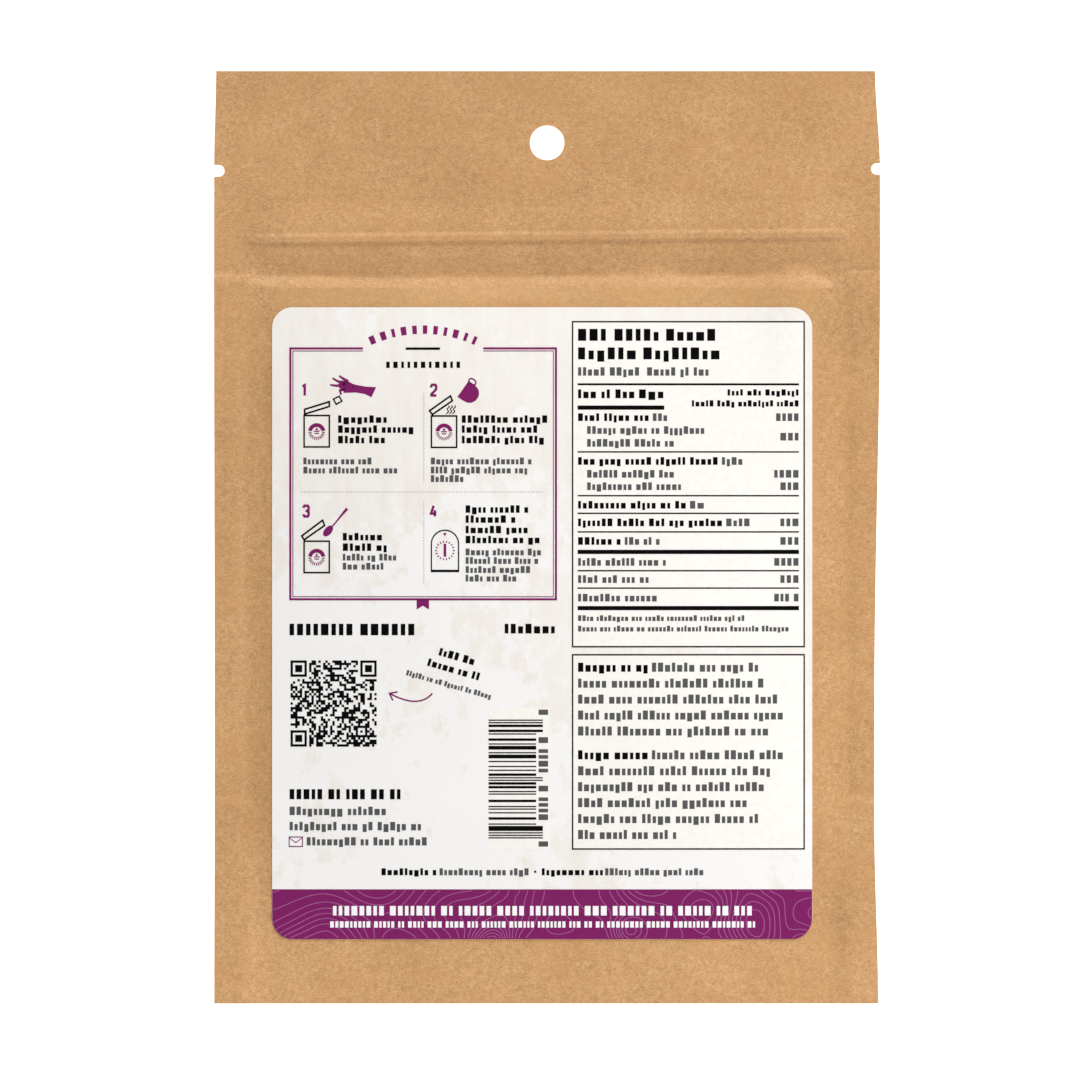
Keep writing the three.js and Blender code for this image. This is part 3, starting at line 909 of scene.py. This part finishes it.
lay_packet(6.75, 22.75, [(6.85, 22.45), (6.85, 21.45), (12.05, 19.85), (12.05, 20.85)])
lay_packet(33.5, 22.85, [(33.7, 22.55), (33.1, 21.75), (37.5, 18.65), (37.9, 19.65)])
lay_packet(6.75, 49.15, [(6.75, 48.85), (6.25, 48.05), (10.65, 44.75), (11.05, 45.85)])

# Step one: a hand that lifts out a small sachet
lay_between("purple", [(15.4, 15.6), (17.6, 16.3), (19.8, 16.7), (21.9, 16.8)],
            [(15.0, 18.0), (17.6, 17.9), (19.4, 18.2), (20.9, 18.9)])
lay_disc("purple", (15.6, 16.6), 1.7, 1.05, 0.2)
for finger in (((15.2, 16.2), (13.6, 16.5), (12.2, 16.3)), ((15.4, 15.8), (13.9, 15.6), (12.7, 14.9)),
               ((16.0, 15.6), (14.8, 14.9), (14.1, 14.4)), ((15.3, 17.2), (14.3, 17.5), (14.5, 18.4))):
    lay_stroke("purple", np.array(finger), np.array([0.62, 0.5, 0.34]))
lay_stroke("black", np.array([(12.9, 19.3), (14.1, 18.7), (14.7, 19.7), (13.5, 20.4)]), 0.3, closed=True)

# Step two: a tilted cup, its handle and three threads of steam
CUP_RIM, CUP_TURN, CUP_HALF, CUP_DEEP = (40.15, 17.15), -0.962, 2.05, 3.62
deep = CUP_DEEP * np.sin(np.linspace(0, 1, 12) * math.pi / 2)
half = CUP_HALF * np.sqrt(1 - (deep / CUP_DEEP) ** 4)
rim_way = np.array([math.cos(CUP_TURN), math.sin(CUP_TURN)])
deep_way = np.array([-rim_way[1], rim_way[0]])
cup_sides = [np.outer(side * half, rim_way) + np.outer(deep, deep_way) + CUP_RIM for side in (-1, 1)]
lay_between("purple", *cup_sides, 8)
handle = rim_way * 2.35 + deep_way * 0.75 + CUP_RIM
lay_stroke("purple", circle_path(handle, 0.82, 18, 0.55, CUP_TURN + math.pi / 2), 0.3, closed=True)
wave = np.linspace(0, 1, 13)
for start in (36.85, 37.5, 38.15):
    sway = 0.2 * np.sin(3.6 * math.pi * wave) + 0.25 * (1 - wave)
    lay_stroke("black", np.stack([start + sway, 20.65 + 1.8 * wave], axis=-1), 0.2)

# Step three: a spoon
lay_stroke("purple", np.array([(15.8, 42.3), (14.6, 43.7), (13.4, 45.2), (12.3, 46.5)]),
           np.array([0.62, 0.42, 0.3, 0.3]))
lay_disc("purple", (11.8, 47.0), 1.35, 0.78, -0.86)

# Step four: a kitchen timer with a ring of ticks, a pointer and a mark
TIMER_LEFT, TIMER_RIGHT, TIMER_FOOT, TIMER_TURN = 33.5, 39.2, 55.4, 49.7
timer_middle = (TIMER_LEFT + TIMER_RIGHT) / 2
dome = circle_path((timer_middle, TIMER_TURN), timer_middle - TIMER_LEFT, 21, start=math.pi, sweep=math.pi)
outline = np.concatenate([dense([(TIMER_LEFT, TIMER_FOOT), (TIMER_LEFT, TIMER_TURN)])[:-1], dome,
                          dense([(TIMER_RIGHT, TIMER_TURN), (TIMER_RIGHT, TIMER_FOOT)])[1:]])
lay_stroke("black", outline, 0.27)
lay_rule("black", TIMER_LEFT - 0.12, TIMER_RIGHT + 0.12, TIMER_FOOT, 0.5)
lay_stroke("purple", spokes((36.35, 51.1), np.arange(18) * math.pi / 9, 1.66, 2.05), 0.23)
lay_stroke("purple", np.array([(36.35, 49.7), (36.35, 52.4)]), 0.55)
lay_between("purple", [(35.98, 47.45), (36.72, 47.45)], [(36.33, 48.1), (36.37, 48.1)], 3)

# The lines of type in the steps
STEP_CAP = {BOLD: 1.55, LIGHT: 1.4}
for left, weight, lines in (
    (13.9, BOLD, ((23.5, 10.2), (25.6, 15.8), (27.8, 9.8))),
    (6.6, LIGHT, ((32.3, 14.3), (34.2, 19.7))),
    (39.9, BOLD, ((23.5, 17.9), (25.6, 15.8), (27.8, 17.2))),
    (33.4, LIGHT, ((32.3, 21.1), (34.2, 20.2), (36.0, 6.8))),
    (14.9, BOLD, ((48.2, 8.2), (50.4, 9.2))),
    (14.9, LIGHT, ((52.5, 11.2), (54.4, 8.5))),
    (40.7, BOLD, ((42.4, 13.1), (44.5, 10.4), (46.7, 13.0), (48.8, 15.5))),
    (40.7, LIGHT, ((51.4, 15.8), (53.2, 15.2), (55.1, 13.5), (56.9, 10.6))),
):
    lay_lines(left, STEP_CAP[weight], weight, lines)

# Below the frame: two headings, a slanting note with its arrow, and an address with a drawn envelope
lay_lines(3.7, 2.4, BOLD, [(67.7, 26.2)], True)
lay_lines(48.9, 2.0, BOLD, [(67.5, 10.5)])
SLANT = 0.28
for left, middle, length, cap, weight in (
    (35.2, 72.3, 7.6, 1.6, BOLD), (32.8, 74.5, 11.2, 1.6, BOLD), (28.3, 76.7, 18.4, 1.1, LIGHT),
):
    lay_type(straight(left, middle, SLANT), length, cap, weight)
bend = np.linspace(0, 1, 15)[:, None]
swoop = (1 - bend) ** 2 * (24.9, 81.2) + 2 * bend * (1 - bend) * (30.9, 84.4) + bend**2 * (33.7, 81.1)
lay_stroke("purple", swoop, 0.3)
lay_stroke("purple", np.array([(26.4, 80.8), (24.7, 81.1), (25.4, 82.6)]), 0.3)
lay_lines(3.7, 2.1, BOLD, [(102.3, 23.3)], True)
lay_lines(3.7, 1.75, LIGHT, [(105.8, 20.2), (109.0, 27.6)])
lay_lines(7.3, 1.7, LIGHT, [(112.2, 25.2)])
lay_box("purple", 3.6, 111.3, 6.4, 113.3, 0.2)
lay_stroke("purple", np.array([(3.7, 111.5), (5.0, 112.5), (6.3, 111.5)]), 0.16)
for left, length, weight in (
    (23.0, 11.5, BOLD), (35.2, 18.7, LIGHT), (56.7, 12.8, BOLD), (70.0, 20.6, LIGHT),
):
    lay_lines(left, 1.45, weight, [(118.6, length)])
lay_disc("black", (55.3, 118.6), 0.25, cells=4)


def code_block(ink, left, top, size, cells):
    """A square of small cells that is filled at random and codes nothing, with a framed square in three
    corners and a lesser one near the fourth. Each run of filled cells in a row is one sheet."""
    filled = np.random.default_rng(17).random((cells, cells)) < 0.5
    ring = np.maximum(*np.abs(np.mgrid[-4:5, -4:5]))
    eye = (ring == 3) | (ring <= 1)
    for row, column in ((0, 0), (0, cells - 7), (cells - 7, 0)):
        rows, columns = (np.arange(max(at - 1, 0), min(at + 8, cells)) for at in (row, column))
        filled[np.ix_(rows, columns)] = eye[np.ix_(rows - row + 1, columns - column + 1)]
    lesser = slice(cells - 9, cells - 4)
    filled[lesser, lesser] = ring[2:7, 2:7] != 1
    edges = np.diff(np.pad(filled, ((0, 0), (1, 1))).astype(int), axis=1)
    rows, starts = np.nonzero(edges == 1)
    stops = np.nonzero(edges == -1)[1]
    cell = size / cells
    across = left + cell * (starts[:, None] + (stops - starts)[:, None] * np.linspace(0, 1, 4))
    down = top + cell * (rows[:, None, None] + np.array([0.0, 1.0])[None, :, None])
    lay(ink, np.repeat(across[:, None], 2, axis=1), down + 0 * across[:, None])


code_block("black", 3.9, 74.2, 18.1, 37)

# A ladder of bars on a pale ground, with random widths, and marks beside it read from the foot upwards
lay_field("cream", 45.4, 84.2, 58.4, 113.9)
BAR_TOP, BAR_MODULE, BAR_LEFT, BAR_RIGHT, GUARD_RIGHT = 86.6, 0.263, 45.5, 55.5, 56.9
draw_bars = np.random.default_rng(3)
WIDTHS = np.array([(1, 1, 2, 3), (1, 1, 1, 4), (1, 2, 2, 2)])
groups = draw_bars.permuted(WIDTHS[draw_bars.integers(0, 3, 12)], axis=1).ravel()
steps = np.concatenate([[1, 1, 1], groups[:24], [1, 1, 1, 1, 1], groups[24:], [1, 1, 1]])
bar_stops, bar_widths = np.cumsum(steps)[::2], steps[::2]
long_bars = np.isin(np.arange(len(bar_stops)), [0, 1, 2, 3, 14, 15, 26, 27, 28, 29])
for chosen, right in ((long_bars, GUARD_RIGHT), (~long_bars, BAR_RIGHT)):
    stop = BAR_TOP + BAR_MODULE * bar_stops[chosen]
    start = stop - BAR_MODULE * bar_widths[chosen]
    across = np.linspace(BAR_LEFT, right, 9)[None, None] + np.zeros((len(stop), 2, 1))
    lay("black", across, np.stack([start, stop], axis=1)[:, :, None] + 0 * across)
for foot, length in ((113.3, 1.1), (107.7, 7.2), (97.7, 7.4), (85.6, 1.1)):
    lay_type(straight(57.0, foot, -math.pi / 2), length, 2.0, LIGHT, True)

# The two framed boxes at the right: a table of rows and rules, and two blocks of small type
BOX_LEFT, BOX_RIGHT, ROW_LEFT, ROW_RIGHT, INDENT = 63.15, 111.8, 64.3, 110.6, 66.2
for top, foot in ((3.05, 71.3), (73.0, 113.8)):
    lay_field("cream", BOX_LEFT, top, BOX_RIGHT, foot)
    lay_box("black", BOX_LEFT, top, BOX_RIGHT, foot, 0.30)
for down, thickness in ((16.2, 0.42), (30.4, 0.3), (39.6, 0.3), (43.3, 0.3), (47.2, 0.3), (51.4, 0.88),
                        (55.35, 0.3), (59.0, 0.3), (63.2, 0.88)):
    lay_rule("black", ROW_LEFT - 0.1, ROW_RIGHT + 0.1, down, thickness)
lay_rule("black", ROW_LEFT - 0.1, 82.4, 21.1, 0.88)
for left, cap, weight, lines in (
    (ROW_LEFT, 2.5, BOLD, [(5.8, 16.9)]), (82.8, 2.5, BOLD, [(5.8, 10.3)]),
    (ROW_LEFT, 2.5, BOLD, [(9.7, 12.1)]), (78.0, 2.5, BOLD, [(9.7, 16.0)]),
    (ROW_LEFT, 1.75, LIGHT, [(13.5, 12.8)]), (78.8, 1.75, LIGHT, [(13.5, 12.9)]),
    (ROW_LEFT, 1.85, BOLD, [(18.2, 11.8)]), (77.1, 1.85, BOLD, [(18.2, 5.1)]),
    (95.7, 1.3, BOLD, [(17.9, 14.9)]), (88.2, 1.3, BOLD, [(20.2, 22.4)]),
    (ROW_LEFT, 1.2, LIGHT, [(65.3, 34.9), (67.5, 44.2)]),
):
    lay_lines(left, cap, weight, lines)
ROW_CAP, WORD_SPACE = 1.6, 0.9
TABLE_ROWS = (  # middle, left, length of its bold and its light part, and of the share at the right
    (23.1, ROW_LEFT, 14.8, 3.0, 4.7), (25.8, INDENT, 0, 24.6, 0), (27.2, INDENT, 0, 0, 3.8),
    (28.5, INDENT, 0, 18.2, 0), (32.3, ROW_LEFT, 29.3, 4.3, 0), (35.0, INDENT, 0, 18.2, 5.1),
    (37.6, INDENT, 0, 19.7, 3.8), (41.5, ROW_LEFT, 22.6, 2.9, 0), (45.2, ROW_LEFT, 30.2, 4.9, 3.8),
    (49.1, ROW_LEFT, 8.9, 7.3, 3.8), (53.5, ROW_LEFT, 0, 18.4, 5.1), (57.1, ROW_LEFT, 0, 14.8, 3.8),
    (61.0, ROW_LEFT, 0, 16.5, 5.1),
)
for middle, left, bold, light, share in TABLE_ROWS:
    light_left = left + bold + WORD_SPACE if bold else left
    for start, length, weight, capitals in (
        (left, bold, BOLD, False), (light_left, light, LIGHT, False),
        (ROW_RIGHT - share, share, LIGHT, True),
    ):
        if length:
            lay_lines(start, ROW_CAP, weight, [(middle, length)], capitals)
BLOCK_LEADING, BLOCK_CAP, LEAD_WORD = 3.35, 1.9, 14.6
for top, lengths in ((75.6, (22.3, 38.9, 41.8, 43.0, 39.9)), (94.0, (27.5, 40.3, 39.0, 35.4, 37.8, 20.6))):
    lay_lines(ROW_LEFT, BLOCK_CAP, BOLD, [(top, LEAD_WORD)])
    lay_lines(ROW_LEFT + LEAD_WORD + WORD_SPACE, BLOCK_CAP, LIGHT, [(top, lengths[0])])
    lay_lines(ROW_LEFT, BLOCK_CAP, LIGHT,
              [(top + row * BLOCK_LEADING, length) for row, length in enumerate(lengths) if row])

# The purple band across the foot, with its pattern of contour lines and two white lines of type
BAND_TOP = 122.3
BARE_EDGE = 0.03  # how much of the paper shows outside the ink at each side
band_down = np.concatenate([np.linspace(BAND_TOP, LABEL_LENGTH - LABEL_CORNER, 6)[:-1],
                            LABEL_LENGTH - LABEL_CORNER + LABEL_CORNER * np.sin(np.linspace(0, 1.48, 10))])
band_inset = BARE_EDGE + rounded_inset(band_down)
band_along = np.linspace(0, 1, 82)
lay("band", (band_inset[:, None] + (LABEL_WIDTH - 2 * band_inset[:, None]) * band_along)[None],
    (band_down[:, None] + 0 * band_along)[None])


SHORTEST_STROKE, STROKE_OVERRUN = 0.02, 0.04  # in millimetres, and as a share of the stroke


def contour_strokes(across, down, height, levels):
    """The lines on which a grid of heights equals each level. In a cell, the level crosses an edge where
    the heights at the edge's ends lie on both sides of it, at the place where a straight line between them
    meets it. Each pair of crossings makes one short stroke, which runs on a little at both ends."""
    places = np.stack(np.meshgrid(across, down), axis=-1)
    corner_places = np.stack([places[:-1, :-1], places[:-1, 1:], places[1:, 1:], places[1:, :-1]], axis=2)
    corner_heights = np.stack([height[:-1, :-1], height[:-1, 1:], height[1:, 1:], height[1:, :-1]], axis=2)
    corner_places, corner_heights = corner_places.reshape(-1, 4, 2), corner_heights.reshape(-1, 4)
    next_places, next_heights = np.roll(corner_places, -1, axis=1), np.roll(corner_heights, -1, axis=1)
    found = []
    for level in levels:
        crossed = (corner_heights > level) != (next_heights > level)
        run = next_heights - corner_heights
        share = (level - corner_heights) / np.where(np.abs(run) < 1e-9, 1e-9, run)
        spots = corner_places + share[..., None] * (next_places - corner_places)
        order = np.argsort(~crossed, axis=1, kind="stable")
        spots = np.take_along_axis(spots, order[..., None], axis=1)
        count = crossed.sum(axis=1)
        found += [spots[count >= 2][:, :2], spots[count == 4][:, 2:]]
    strokes = np.concatenate(found)
    length = np.hypot(*(strokes[:, 1] - strokes[:, 0]).T)
    strokes = strokes[length > SHORTEST_STROKE]
    return strokes + STROKE_OVERRUN * (strokes - strokes[:, ::-1])


def hills(across, down):
    """Made-up ground: a sum of round hills and hollows of several widths at seeded places."""
    draw = np.random.default_rng(41)
    ground = 0.03 * across[None, :] + 0.10 * down[:, None]
    for _ in range(34):
        centre = draw.uniform(-4, LABEL_WIDTH + 4), draw.uniform(BAND_TOP - 7, LABEL_LENGTH + 7)
        wide, size = draw.uniform(3.0, 8.0), draw.choice([-1.0, 1.0]) * draw.uniform(0.8, 2.6)
        apart = (across[None, :] - centre[0]) ** 2 + 1.3 * (down[:, None] - centre[1]) ** 2
        ground = ground + size * np.exp(-apart / wide**2)
    return ground


GROUND_MARGIN, CONTOUR_STEP = 0.25, 0.42
ground_across = np.linspace(GROUND_MARGIN, LABEL_WIDTH - GROUND_MARGIN, 230)
ground_down = np.linspace(BAND_TOP + GROUND_MARGIN, LABEL_LENGTH - GROUND_MARGIN, 22)
ground = hills(ground_across, ground_down)
levels = np.arange(ground.min(), ground.max(), CONTOUR_STEP)
strokes = contour_strokes(ground_across, ground_down, ground, levels)
middles = strokes.mean(axis=1)
side_room = np.minimum(middles[:, 0], LABEL_WIDTH - middles[:, 0])
inside = side_room > 0.2 + rounded_inset(middles[:, 1])
lay_stroke("line", strokes[inside], 0.18)
lay_type(straight(12.8, 126.8), 88.0, 2.0, BOLD, True, ink="white")
lay_type(straight(12.2, 129.7), 89.3, 1.3, BOLD, True, ink="white")

for ink, made in printed.items():
    points, quads = joined(made)
    new_piece(f"print_{ink}", points, quads, [INKS[ink]])

# ---------------------------------------------------------------- floor, light and camera
FLOOR_HALF = 3.0
floor_mesh = bpy.data.meshes.new("floor")
corners = [(FLOOR_HALF * x, FLOOR_HALF * y, 0) for x, y in ((-1, -1), (1, -1), (1, 1), (-1, 1))]
floor_mesh.from_pydata(corners, [], [(0, 1, 2, 3)])
floor_mesh.materials.append(floor_finish())
floor = bpy.data.objects.new("floor", floor_mesh)
bpy.context.scene.collection.objects.link(floor)

world = bpy.data.worlds.new("studio")
world.use_nodes = True
background = world.node_tree.nodes["Background"].inputs
background["Color"].default_value, background["Strength"].default_value = (1, 1, 1, 1), 0.42
bpy.context.scene.world = world
bpy.context.scene.view_settings.view_transform = "Standard"


def soft_box(name, place, aim, size, watts):
    """A square soft light at a place, turned to face a point."""
    lamp = bpy.data.lights.new(name, "AREA")
    lamp.shape, lamp.size, lamp.energy = "SQUARE", size, watts
    holder = bpy.data.objects.new(name, lamp)
    holder.location = place
    holder.rotation_euler = (Vector(aim) - Vector(place)).to_track_quat("-Z", "Y").to_euler()
    bpy.context.scene.collection.objects.link(holder)


soft_box("top_soft_box", (0.60, 2.5, 1.25), (0, 0, 0), 1.8, 93.5)
soft_box("side_soft_box", (0.42, -0.66, 0.42), (0, -0.03, 0), 0.5, 5.3)

VIEW_WIDTH = 0.2270  # of the frame, in metres, at the height of the pouch's edge
LENS, SENSOR = 700.0, 36.0
camera_data = bpy.data.cameras.new("camera")
camera_data.lens, camera_data.sensor_width = LENS, SENSOR
camera = bpy.data.objects.new("camera", camera_data)
camera.location = (-0.0015, -0.0006, SEAM_HEIGHT * MM + VIEW_WIDTH * LENS / SENSOR)
bpy.context.scene.collection.objects.link(camera)
bpy.context.scene.camera = camera
